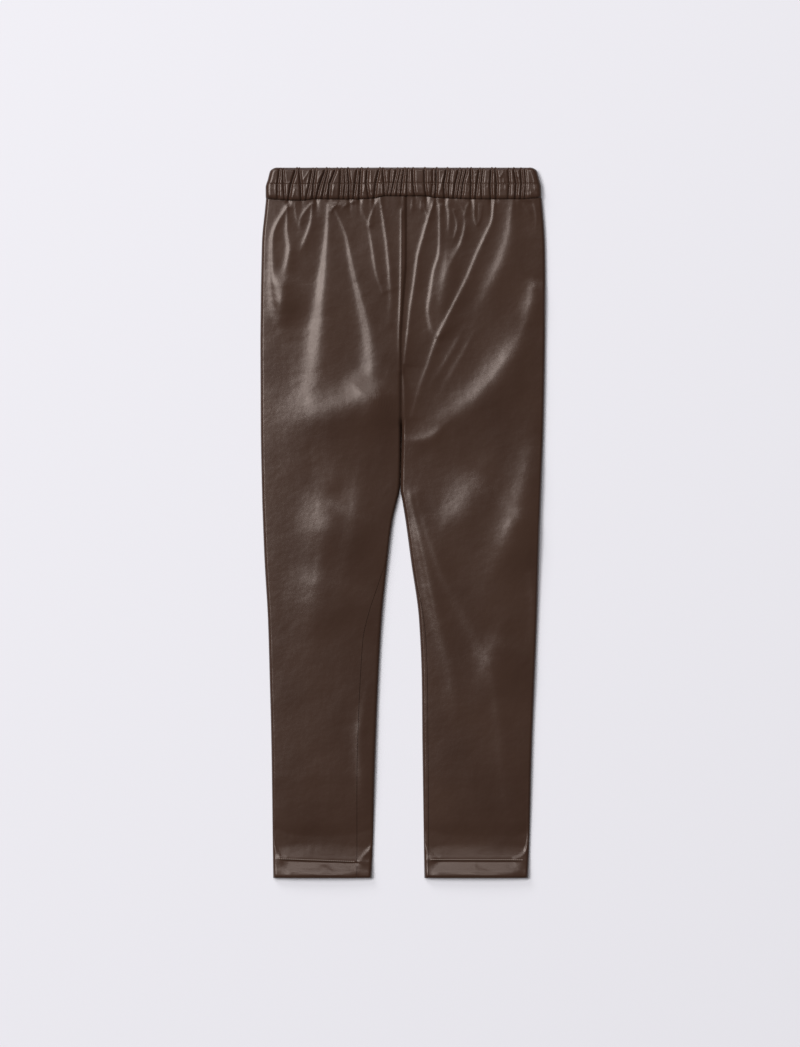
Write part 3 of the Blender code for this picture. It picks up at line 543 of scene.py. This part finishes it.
def fold_rise(fold, x, y):
    """How far this fold lifts the cloth at each x, y."""
    points = curve_through(fold.route, WIDE_STEPS if fold.wide > WIDE else ROUTE_STEPS)
    reach = FOLD_SPREAD * max(fold.wide, fold.last, fold.back, FOOT_SPREAD)
    low = points.min(axis=0) - reach
    high = points.max(axis=0) + reach
    near = (x > low[0]) & (x < high[0]) & (y > low[1]) & (y < high[1])
    rise = np.zeros(x.shape)
    if not near.any():
        return rise
    x, y = x[near], y[near]
    nearest = np.full(x.shape, np.inf)
    across = np.zeros(x.shape)
    along = np.zeros(x.shape)
    beyond = np.zeros(x.shape)
    last = len(points) - 2
    for index, (start, end) in enumerate(zip(points, points[1:])):
        run = end - start
        length = math.hypot(*run)
        dx = x - start[0]
        dy = y - start[1]
        share = (dx * run[0] + dy * run[1]) / length**2
        held = np.clip(share, 0, 1)
        distance = np.hypot(dx - held * run[0], dy - held * run[1])
        square = (run[0] * dy - run[1] * dx) / length
        over = np.where(share < 0, -share, share - 1) * length
        past_end = (share < 0) & (index == 0) | (share > 1) & (index == last)
        signed = np.where(past_end, square, np.copysign(distance, square))
        nearer = distance < nearest
        nearest = np.where(nearer, distance, nearest)
        across = np.where(nearer, signed, across)
        along = np.where(nearer, (index + held) / (last + 1), along)
        beyond = np.where(nearer, np.where(past_end, over, 0), beyond)
    width = fold.wide + (fold.last - fold.wide) * along**FOLD_WIDENING
    foot = width + FOOT_SPREAD * width**2 / (width**2 + 1)
    climb = width * (1 - FOOT_SHARE) * (1 + np.tanh(across / width))
    climb = climb + foot * FOOT_SHARE * (1 + np.tanh(across / foot))
    back = fold.back * (BACK_START + (1 - BACK_START) * smooth_step(along / BACK_FULL))
    sink = 0.5 ** (np.maximum(across, 0) ** 2 / (back * (np.abs(across) + width)))
    taper_in = fold.start + (1 - fold.start) * smooth_step(along / FOLD_START)
    taper_out = fold.end + (1 - fold.end) * smooth_step((1 - along) / FOLD_FINISH)
    steep = FULL_SLOPE * fold.strong * taper_in * taper_out
    rise[near] = steep * climb * sink * np.exp(-((beyond / (2 * width)) ** 2))
    return rise


def stitching_height(side, x):
    """The height y of the hem's stitching at x."""
    (start, low), (end, high) = LEFT_STITCHING if side < 0 else RIGHT_STITCHING
    return low + (high - low) * (x - start) / (end - start)


def hem_relief(side, x, y):
    """How far the hem's puffs and creases stand above the leg, or below it."""
    ends = LEFT_HEM_ENDS if side < 0 else RIGHT_HEM_ENDS
    reach = HEM_END_REACH + HEM_END_SPREAD * (1 - smooth_step((y - HEM_END_LOW) / HEM_END_REACH))
    from_left = smooth_step((x - follow(y, ends, "left")) / reach + 0.5)
    to_right = smooth_step((follow(y, ends, "right") - x) / reach + 0.5)
    inside = from_left * to_right
    near = np.exp(-np.abs(y - HEM_STITCHING) / STITCHING_SHIFT_REACH)
    at = y - (stitching_height(side, x) - HEM_STITCHING) * near
    middle = follow(at, HEM_ROWS, "middle")
    corner = follow(at, HEM_ROWS, "corner")
    fall = HEM_FALL * (1 - np.sqrt(1 - (1 - np.clip(y / HEM_ROUND, 0, 1)) ** 2))
    return corner + (middle - corner) * inside - fall


def top_height(side, x, y):
    """The rise of the cloth's upper face, before its side edges are rounded down."""
    out = np.abs(x - outer_edge(side, y))
    into = np.abs(x - inner_edge(side, y))
    legs = leg_share(y)
    crown = (1 - np.exp(-out / CROWN_REACH)) * (1 - legs * np.exp(-into / CROWN_REACH))
    height = EDGE_TOP + CROWN * crown + hem_relief(side, x, y)
    height = height + WAIST_RISE * np.exp((y - BAND_SEAM) / WAIST_REACH)
    for fold in FOLDS:
        height = height + fold_rise(fold, x, y)
    dip = SEAM_DIP * (1 - legs) * np.exp(-((into / SEAM_DIP_REACH) ** 2)) * (side < 0)
    pucker = np.zeros(height.shape)
    for gather in GATHERS:
        line = PUCKER_DEPTH * gather.depth**PUCKER_CHOICE * np.exp(-(((x - gather.seam) / PUCKER_REACH) ** 2))
        pucker = np.maximum(pucker, line * np.exp((y - BAND_SEAM) / PUCKER_LENGTH))
    return np.maximum(height - dip - pucker, LEAST_TOP)


def waved(points):
    """The points moved up or down with the seam under the waistband."""
    x, y, z = np.moveaxis(points, -1, 0)
    shift = follow(x, SEAM_WAVES, "shift") * np.exp(-np.abs(y - BAND_SEAM) / WAVE_REACH)
    return np.stack([x, y + shift, z], axis=-1)


def round_edge(distance):
    """Reach in from a side edge and share of the rise, this far round it from its middle."""
    share = np.clip(distance / EDGE_ARC, 0, 1) * math.pi / 2
    reach = EDGE_REACH * (1 - np.cos(share)) + np.maximum(distance - EDGE_ARC, 0)
    return reach, np.sin(share)


def row_heights():
    """Heights of the panels' rows of points, from the hem to the waistband's seam."""
    heights = [0.0]
    for stretch in STRETCHES:
        start = heights[-1]
        step = (stretch.top - start) / stretch.rows
        heights += [start + step * (count + 1) for count in range(stretch.rows)]
    return np.array(heights)[:, None]


def front_points(side):
    """Points of a front panel's outer face, rows from the hem up, from the outseam to the inner seam."""
    y = row_heights()
    to_seam = follow(y, ROLLS, SIDE_NAMES[side]) + SEAM_GAP
    legs = leg_share(y)
    shares = np.linspace(0, 1, EDGE_STEPS + 1)[None, :]
    outer_reach, outer_rise = round_edge(SEAM_GAP / 2 + (EDGE_ARC - SEAM_GAP / 2) * shares)
    leg_reach, leg_rise = round_edge(to_seam + EDGE_ARC * shares[:, ::-1])
    inner_reach = SEAM_GAP / 2 + legs * leg_reach + (1 - legs) * EDGE_ARC * shares[:, ::-1]
    inner_rise = legs * leg_rise + 1 - legs
    outer_x = outer_edge(side, y) - side * outer_reach
    inner_x = inner_edge(side, y) + side * inner_reach
    across = np.linspace(0, 1, FRONT_COLUMNS - 2 * EDGE_STEPS + 1)[None, 1:-1]
    middle_x = outer_x[:, -1:] + (inner_x[:, :1] - outer_x[:, -1:]) * across
    x = np.hstack([outer_x, middle_x, inner_x])
    rows = np.ones((len(y), 1))
    rise = np.hstack([outer_rise * rows, np.ones(middle_x.shape), inner_rise * rows])
    y = y + np.zeros(x.shape)
    z = EDGE_MIDDLE + (top_height(side, x, y) - EDGE_MIDDLE) * rise
    return waved(np.stack([x, y, z], axis=-1))


def back_points(side):
    """Points of a back panel's outer face: under the leg, then up round its inner edge."""
    y = row_heights()
    legs = leg_share(y)
    to_seam = follow(y, ROLLS, SIDE_NAMES[side])
    shares = np.linspace(0, 1, EDGE_STEPS + 1)[None, :]
    outer_reach, outer_rise = round_edge(SEAM_GAP / 2 + (EDGE_ARC - SEAM_GAP / 2) * shares)
    down_reach, down_rise = round_edge(EDGE_ARC * shares[:, ::-1])
    round_steps = np.linspace(0, 1, WRAP_STEPS + 1)[None, 1:]
    up_reach, up_rise = round_edge(to_seam * round_steps)
    up_x = inner_edge(side, y) + side * (up_reach - BACK_LAP)
    up_z = EDGE_MIDDLE + (top_height(side, up_x, y + np.zeros(up_x.shape)) - EDGE_MIDDLE) * up_rise
    leg_x = np.hstack([inner_edge(side, y) + side * (down_reach - BACK_LAP), up_x])
    leg_z = np.hstack([EDGE_MIDDLE * (1 - down_rise) + np.zeros(y.shape), up_z])
    flat_reach = FLAT_STEP * np.arange(leg_x.shape[1])[None, ::-1]
    inner_x = legs * leg_x + (1 - legs) * (back_seam(y) + side * (flat_reach - BACK_LAP))
    inner_z = legs * leg_z
    outer_x = outer_edge(side, y) - side * outer_reach
    outer_z = EDGE_MIDDLE * (1 - outer_rise) + np.zeros(y.shape)
    across = np.linspace(0, 1, BOTTOM_STEPS + 1)[None, 1:-1]
    bottom_x = outer_x[:, -1:] + (inner_x[:, :1] - outer_x[:, -1:]) * across
    x = np.hstack([outer_x, bottom_x, inner_x])
    z = np.hstack([outer_z, np.zeros(bottom_x.shape), inner_z])
    return waved(np.stack([x, y + np.zeros(x.shape), z], axis=-1))


def groove_cut(x, y):
    """How deep the gathers cut into the waistband's front at each x, y."""
    up = np.array([BAND_SEAM, BAND_STITCHING, LENGTH])
    cut = np.zeros(x.shape)
    for gather in GATHERS:
        line = np.interp(y, up, [gather.seam, gather.stitch, gather.top])
        cut = np.maximum(cut, GROOVE_SHARE * gather.depth * np.exp(-(((x - line) / GROOVE_REACH) ** 2)))
    return cut


def band_front(x, y):
    """The thickness of the waistband's front, from the gap inside it, before its top edge rolls."""
    front = follow(y, BAND_ROWS, "front")
    for fold in BAND_FOLDS:
        front = front + fold_rise(fold, x, y)
    return front - groove_cut(x, y)


def band_points():
    """Rings of points round the waistband, from its seam up and over the top, then down inside."""
    rolled = LENGTH - BAND_ROLL
    ups = np.linspace(BAND_SEAM, rolled, BAND_ROWS_UP)
    angles = np.linspace(0, math.pi / 2, BAND_ROLL_STEPS + 1)[1:]
    tops = rolled + BAND_ROLL * np.sin(angles)
    y = np.concatenate([[BAND_SEAM], ups, tops, [rolled, BAND_SEAM + BAND_LINING_LIFT]])
    share = np.concatenate([[BAND_FOOT_SHARE], np.ones(len(ups)), np.cos(angles), [0, 0]])
    y, share = y[:, None], share[:, None]
    left = follow(y, BAND_EDGES, "left") + BAND_CORNER
    right = follow(y, BAND_EDGES, "right") - BAND_CORNER
    columns = np.linspace(0, 1, BAND_COLUMNS)[None, :]
    front_x = left + (right - left) * columns
    front_y = y + np.zeros(front_x.shape)
    thick = band_front(front_x, np.minimum(front_y, rolled)) * share
    near_top = np.clip((front_y - rolled) / BAND_ROLL, 0, 1)
    near_top = near_top * smooth_step(np.minimum(columns, 1 - columns) / BAND_NOTCH_FADE)
    front_y = front_y + BAND_NOTCH * (groove_cut(front_x, front_y) - 1) * near_top
    front_z = BAND_CORE + BAND_HALF_GAP + thick
    under = follow(np.minimum(y, rolled), BAND_ROWS, "under") * share
    full = max(column(BAND_ROWS, "under"))
    around = BAND_HALF_GAP + under / full * (BAND_CORNER - BAND_HALF_GAP)
    turn = np.linspace(math.pi / 2, -math.pi / 2, BAND_CORNER_STEPS + 1)[None, 1:-1]
    above = front_z - BAND_CORE
    below = BAND_HALF_GAP + under
    right_z = BAND_CORE + np.where(turn > 0, above[:, -1:], below) * np.sin(turn)
    left_z = BAND_CORE + np.where(turn > 0, above[:, :1], below) * np.sin(turn)
    steps = np.linspace(1, 0, BAND_UNDER_COLUMNS)[None, :]
    under_x = left + (right - left) * steps
    x = np.hstack([front_x, right + around * np.cos(turn), under_x,
                   (left - around * np.cos(turn))[:, ::-1]])
    z = np.hstack([front_z, right_z, BAND_CORE - below + np.zeros(under_x.shape), left_z[:, ::-1]])
    sides = y + np.zeros((1, x.shape[1] - front_x.shape[1]))
    return waved(np.stack([x, np.hstack([front_y, sides]), z], axis=-1))


# Cloth ---------------------------------------------------------------------------------------

CLOTH_DARK = (0.040, 0.0200, 0.0134, 1.0)
CLOTH_LIGHT = (0.049, 0.0255, 0.0173, 1.0)
SHINE = 0.31
SHINE_TINT = (1.0, 0.87, 0.81, 1.0)
ROUGH_LEAST = 0.26
ROUGH_MOST = 0.33
SHARP_TURN = math.radians(50)

# Textures of the leather look, in repeats per metre, and their relief in millimetres
TONE_SCALE = 16.0
TONE_DETAIL = 4.0
TONE_LOW = 0.3
TONE_HIGH = 0.7
CLOUD_SCALE = 45.0
CLOUD_DETAIL = 3.0
CLOUD_RELIEF = 0.6
CRACK_SCALE = 850.0
CRACK_WIDTH = 0.16
CRACK_RELIEF = 0.009
PEBBLE_SCALE = 1500.0
PEBBLE_RELIEF = 0.008

THREAD_COLOUR = (0.330, 0.255, 0.215, 1.0)
THREAD_ROUGHNESS = 0.55
THREAD_TWIST = 900.0
THREAD_RELIEF = 0.06


def add_texture(tree, kind, scale, place):
    """A texture node fed by the piece's own place in space."""
    texture = tree.nodes.new(kind)
    texture.inputs["Scale"].default_value = scale
    tree.links.new(place.outputs["Object"], texture.inputs["Vector"])
    return texture


def add_relief(tree, below, source, relief):
    """The height below plus the source's height times relief."""
    more = tree.nodes.new("ShaderNodeMath")
    more.operation = "MULTIPLY_ADD"
    tree.links.new(source, more.inputs[0])
    more.inputs[1].default_value = relief
    if below:
        tree.links.new(below, more.inputs[2])
    else:
        more.inputs[2].default_value = 0.0
    return more.outputs[0]


def add_bump(tree, height):
    """The shader's normal, bent by a height in millimetres."""
    bump = tree.nodes.new("ShaderNodeBump")
    bump.inputs["Distance"].default_value = MM
    tree.links.new(height, bump.inputs["Height"])
    tree.links.new(bump.outputs["Normal"], tree.nodes["Principled BSDF"].inputs["Normal"])


def leather():
    """Smooth brown leather-look cloth: fine pebbles and cracks, with clouded tone and gloss."""
    material = bpy.data.materials.new("leather")
    material.use_nodes = True
    tree = material.node_tree
    shader = tree.nodes["Principled BSDF"]
    shader.inputs["Specular IOR Level"].default_value = SHINE
    shader.inputs["Specular Tint"].default_value = SHINE_TINT
    place = tree.nodes.new("ShaderNodeTexCoord")
    tone = add_texture(tree, "ShaderNodeTexNoise", TONE_SCALE, place)
    tone.inputs["Detail"].default_value = TONE_DETAIL
    blend = tree.nodes.new("ShaderNodeValToRGB")
    blend.color_ramp.elements[0].position = TONE_LOW
    blend.color_ramp.elements[0].color = CLOTH_DARK
    blend.color_ramp.elements[1].position = TONE_HIGH
    blend.color_ramp.elements[1].color = CLOTH_LIGHT
    tree.links.new(tone.outputs["Fac"], blend.inputs["Fac"])
    tree.links.new(blend.outputs["Color"], shader.inputs["Base Color"])
    cloud = add_texture(tree, "ShaderNodeTexNoise", CLOUD_SCALE, place)
    cloud.inputs["Detail"].default_value = CLOUD_DETAIL
    gloss = tree.nodes.new("ShaderNodeMapRange")
    gloss.inputs["To Min"].default_value = ROUGH_LEAST
    gloss.inputs["To Max"].default_value = ROUGH_MOST
    tree.links.new(cloud.outputs["Fac"], gloss.inputs["Value"])
    tree.links.new(gloss.outputs["Result"], shader.inputs["Roughness"])
    crack = add_texture(tree, "ShaderNodeTexVoronoi", CRACK_SCALE, place)
    crack.feature = "DISTANCE_TO_EDGE"
    groove = tree.nodes.new("ShaderNodeMapRange")
    groove.inputs["From Max"].default_value = CRACK_WIDTH
    tree.links.new(crack.outputs["Distance"], groove.inputs["Value"])
    pebble = add_texture(tree, "ShaderNodeTexVoronoi", PEBBLE_SCALE, place)
    height = add_relief(tree, None, cloud.outputs["Fac"], CLOUD_RELIEF)
    height = add_relief(tree, height, groove.outputs["Result"], CRACK_RELIEF)
    height = add_relief(tree, height, pebble.outputs["Distance"], PEBBLE_RELIEF)
    add_bump(tree, height)
    return material


def thread():
    """Twisted brown sewing thread."""
    material = bpy.data.materials.new("thread")
    material.use_nodes = True
    tree = material.node_tree
    shader = tree.nodes["Principled BSDF"]
    shader.inputs["Base Color"].default_value = THREAD_COLOUR
    shader.inputs["Roughness"].default_value = THREAD_ROUGHNESS
    place = tree.nodes.new("ShaderNodeTexCoord")
    twist = add_texture(tree, "ShaderNodeTexWave", THREAD_TWIST, place)
    twist.bands_direction = "DIAGONAL"
    add_bump(tree, add_relief(tree, None, twist.outputs["Fac"], THREAD_RELIEF))
    return material


def add_piece(name, places, faces, material):
    """A piece of the leggings, from places in mm, with crisp edges only where it turns sharply."""
    mesh = bpy.data.meshes.new(name)
    mesh.from_pydata(((places - [0, LENGTH / 2, 0]) * MM).tolist(), [], faces)
    mesh.set_sharp_from_angle(angle=SHARP_TURN)
    mesh.materials.append(material)
    piece = bpy.data.objects.new(name, mesh)
    bpy.context.scene.collection.objects.link(piece)
    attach(piece, "root")
    return piece


def quads_of(index):
    """The quads of a grid of point numbers."""
    quads = np.stack([index[:-1, :-1], index[:-1, 1:], index[1:, 1:], index[1:, :-1]], axis=-1)
    return quads.reshape(-1, 4).tolist()


def kept_steps(count):
    """Every few numbers up to count, with the last one always among them."""
    return np.unique(np.append(np.arange(0, count, INNER_STRIDE), count - 1))


def add_panel(name, points, outwards, material):
    """A panel from its outer face: a shell WALL thick, with fewer points on its inner face."""
    rows, columns = points.shape[:2]
    up = np.gradient(points, axis=0)
    over = np.gradient(points, axis=1)
    normal = np.cross(over, up)
    normal = normal / np.linalg.norm(normal, axis=-1, keepdims=True)
    if not outwards:
        points, normal = points[:, ::-1], -normal[:, ::-1]
    index = np.arange(rows * columns).reshape(rows, columns)
    kept_rows = kept_steps(rows)
    kept_columns = kept_steps(columns)
    kept = np.ix_(kept_rows, kept_columns)
    inner = (points - WALL * normal)[kept]
    under = rows * columns + np.arange(inner.shape[0] * inner.shape[1]).reshape(inner.shape[:2])
    faces = quads_of(index) + quads_of(under[:, ::-1])
    for first, last in zip(range(len(kept_rows) - 1), kept_rows[1:]):
        low = kept_rows[first]
        start = index[low : last + 1, 0].tolist()
        end = index[low : last + 1, -1].tolist()
        faces.append(start + [int(under[first + 1, 0]), int(under[first, 0])])
        faces.append(end[::-1] + [int(under[first, -1]), int(under[first + 1, -1])])
    for first, last in zip(range(len(kept_columns) - 1), kept_columns[1:]):
        low = kept_columns[first]
        start = index[0, low : last + 1].tolist()
        end = index[-1, low : last + 1].tolist()
        faces.append(start[::-1] + [int(under[0, first]), int(under[0, first + 1])])
        faces.append(end + [int(under[-1, first + 1]), int(under[-1, first])])
    places = np.vstack([points.reshape(-1, 3), inner.reshape(-1, 3)])
    piece = add_piece("cloth_" + name, places, faces, material)
    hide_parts(name)
    return piece


def add_waistband(material):
    """The waistband, a closed loop of rings."""
    points = band_points()
    rows, columns = points.shape[:2]
    index = np.arange(rows * columns).reshape(rows, columns)
    index = np.hstack([index, index[:, :1]])
    index = np.vstack([index, index[:1]])
    piece = add_piece("cloth_waistband", points.reshape(-1, 3), quads_of(index), material)
    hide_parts("waistband")
    return piece


# Stitches --------------------------------------------------------------------------------------

STITCH_PITCH = 1.7
STITCH_LENGTH = 1.15
STITCH_WIDTH = 0.72
STITCH_SIDES = 8
STITCH_STATIONS = (0.0, 0.12, 0.35, 0.65, 0.88, 1.0)
BAND_STITCH_INSET = 6.0
BAND_STITCH_SUNK = 0.66
UNDER_STITCH_SUNK = 0.55
HEM_STITCH_INSET = 5.0


def add_stitches(name, line, rises, material):
    """A row of short threads along a line of places in mm, each the same way up as rises says."""
    steps = np.linalg.norm(np.diff(line, axis=0), axis=1)
    along = np.concatenate([[0], np.cumsum(steps)])
    count = int((along[-1] - STITCH_LENGTH) / STITCH_PITCH) + 1
    turns = np.arange(STITCH_SIDES) * 2 * math.pi / STITCH_SIDES
    places = []
    faces = []
    for number in range(count):
        shares = np.array(STITCH_STATIONS)
        at = number * STITCH_PITCH + shares * STITCH_LENGTH
        middles = np.stack([np.interp(at, along, line[:, axis]) for axis in range(3)], axis=-1)
        bulge = np.sqrt(1 - (2 * shares - 1) ** 4)
        across = np.array([0.0, 1.0, 0.0])
        up = np.array([0.0, 0.0, rises])
        base = len(places)
        places += [middles[0], middles[-1]]
        for middle, full in zip(middles[1:-1], bulge[1:-1]):
            radius = STITCH_WIDTH / 2 * full
            arch = up * (STITCH_WIDTH / 2) * full
            places += [middle + arch + radius * (across * math.cos(t) + up * math.sin(t)) for t in turns]
        rings = len(STITCH_STATIONS) - 2
        for side in range(STITCH_SIDES):
            here = base + 2 + side
            there = base + 2 + (side + 1) % STITCH_SIDES
            faces.append((base, here, there))
            for ring in range(rings - 1):
                near = ring * STITCH_SIDES
                far = near + STITCH_SIDES
                faces.append((here + near, here + far, there + far, there + near))
            end = (rings - 1) * STITCH_SIDES
            faces.append((here + end, base + 1, there + end))
    return add_piece(name, np.array(places), faces, material)


def band_stitches(material):
    """The rows of stitches round the middle of the waistband, in front and under."""
    y = BAND_STITCHING
    left = follow(y, BAND_EDGES, "left") + BAND_STITCH_INSET
    right = follow(y, BAND_EDGES, "right") - BAND_STITCH_INSET
    x = np.linspace(left, right, BAND_COLUMNS)
    y = np.full(x.shape, y)
    front = BAND_CORE + BAND_HALF_GAP + band_front(x, y) - BAND_STITCH_SUNK
    under = BAND_CORE - BAND_HALF_GAP - follow(y, BAND_ROWS, "under") + UNDER_STITCH_SUNK
    top = add_stitches("stitches_band_front", waved(np.stack([x, y, front], axis=-1)), 1, material)
    low = add_stitches("stitches_band_back", waved(np.stack([x, y, under], axis=-1)), -1, material)
    return [top, low]


def hem_stitches(side, material):
    """The rows of stitches round one hem, on the front and on the back under it."""
    name = SIDE_NAMES[side]
    low = outer_edge(side, HEM_STITCHING) - side * HEM_STITCH_INSET
    high = inner_edge(side, HEM_STITCHING) + side * HEM_STITCH_INSET
    seam = inner_edge(side, HEM_STITCHING) + side * follow(HEM_STITCHING, ROLLS, name)
    front_x = np.linspace(low, seam + side * 2 * SEAM_GAP, FRONT_COLUMNS)
    y = stitching_height(side, front_x)
    line = np.stack([front_x, y, top_height(side, front_x, y)], axis=-1)
    if side > 0:
        line = line[::-1]
    front = add_stitches("stitches_hem_front_" + name, line, 1, material)
    back_x = np.linspace(low, high, FRONT_COLUMNS)
    back_z = np.full(back_x.shape, UNDER_STITCH_SUNK)
    line = np.stack([back_x, stitching_height(side, back_x), back_z], axis=-1)
    if side > 0:
        line = line[::-1]
    back = add_stitches("stitches_hem_back_" + name, line, -1, material)
    return front, back


# Room ----------------------------------------------------------------------------------------

# The camera and the floor, in metres but for the sensor. The floor glows a little of itself.
CAMERA_HEIGHT = 3.0
SENSOR = 36.0
FRAME_HEIGHT = 0.8854
FRAME_CENTRE = (-0.00258, -0.0006)
FLOOR_REACH = 6.0
FLOOR_DROP = 0.0002
FLOOR_COLOUR = (0.668, 0.657, 0.696, 1.0)
GLOW_COLOUR = (0.80, 0.79, 0.835, 1.0)
FLOOR_GLOW = 0.16
FLOOR_ROUGHNESS = 0.9
WORLD_STRENGTH = 0.05

# Lamps, all facing the middle of the leggings: metres and watts
Lamp = namedtuple("Lamp", "name x y z size power")
LAMPS = (
    Lamp("key", -4.2, 2.2, 8.6, 3.6, 765),
    Lamp("top", 0.0, 4.6, 8.8, 2.6, 180),
    Lamp("low", -5.0, 8.0, 5.6, 4.5, 420),
)


def add_camera():
    data = bpy.data.cameras.new("camera")
    data.sensor_width = SENSOR
    data.lens = SENSOR * CAMERA_HEIGHT / FRAME_HEIGHT
    camera = bpy.data.objects.new("camera", data)
    camera.location = (*FRAME_CENTRE, CAMERA_HEIGHT)
    bpy.context.scene.collection.objects.link(camera)
    bpy.context.scene.camera = camera


def add_floor():
    mesh = bpy.data.meshes.new("floor")
    reach = FLOOR_REACH
    mesh.from_pydata(
        [(-reach, -reach, 0), (reach, -reach, 0), (reach, reach, 0), (-reach, reach, 0)],
        [],
        [(0, 1, 2, 3)],
    )
    material = bpy.data.materials.new("floor")
    material.use_nodes = True
    shader = material.node_tree.nodes["Principled BSDF"]
    shader.inputs["Base Color"].default_value = FLOOR_COLOUR
    shader.inputs["Emission Color"].default_value = GLOW_COLOUR
    shader.inputs["Emission Strength"].default_value = FLOOR_GLOW
    shader.inputs["Roughness"].default_value = FLOOR_ROUGHNESS
    shader.inputs["Specular IOR Level"].default_value = 0.0
    mesh.materials.append(material)
    floor = bpy.data.objects.new("floor", mesh)
    floor.location.z = -FLOOR_DROP
    bpy.context.scene.collection.objects.link(floor)


def add_light(lamp):
    """A square soft light that faces the middle of the leggings."""
    data = bpy.data.lights.new(lamp.name, "AREA")
    data.size = lamp.size
    data.energy = lamp.power
    light = bpy.data.objects.new(lamp.name, data)
    light.location = (lamp.x, lamp.y, lamp.z)
    light.rotation_mode = "QUATERNION"
    light.rotation_quaternion = (-light.location).to_track_quat("-Z", "Y")
    bpy.context.scene.collection.objects.link(light)


def add_world(strength):
    world = bpy.data.worlds.new("room")
    world.use_nodes = True
    world.node_tree.nodes["Background"].inputs["Color"].default_value = (1, 1, 1, 1)
    world.node_tree.nodes["Background"].inputs["Strength"].default_value = strength
    bpy.context.scene.world = world


def main():
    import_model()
    cloth = leather()
    yarn = thread()
    for side in (LEFT, RIGHT):
        name = SIDE_NAMES[side]
        front_stitches, back_stitches = hem_stitches(side, yarn)
        front = add_panel("front_" + name, front_points(side), side < 0, cloth)
        back = add_panel("back_" + name, back_points(side), side > 0, cloth)
    band = add_waistband(cloth)
    band_stitches(yarn)
    add_camera()
    add_floor()
    add_world(WORLD_STRENGTH)
    for lamp in LAMPS:
        add_light(lamp)
    bpy.context.scene.view_settings.view_transform = "Standard"


main()
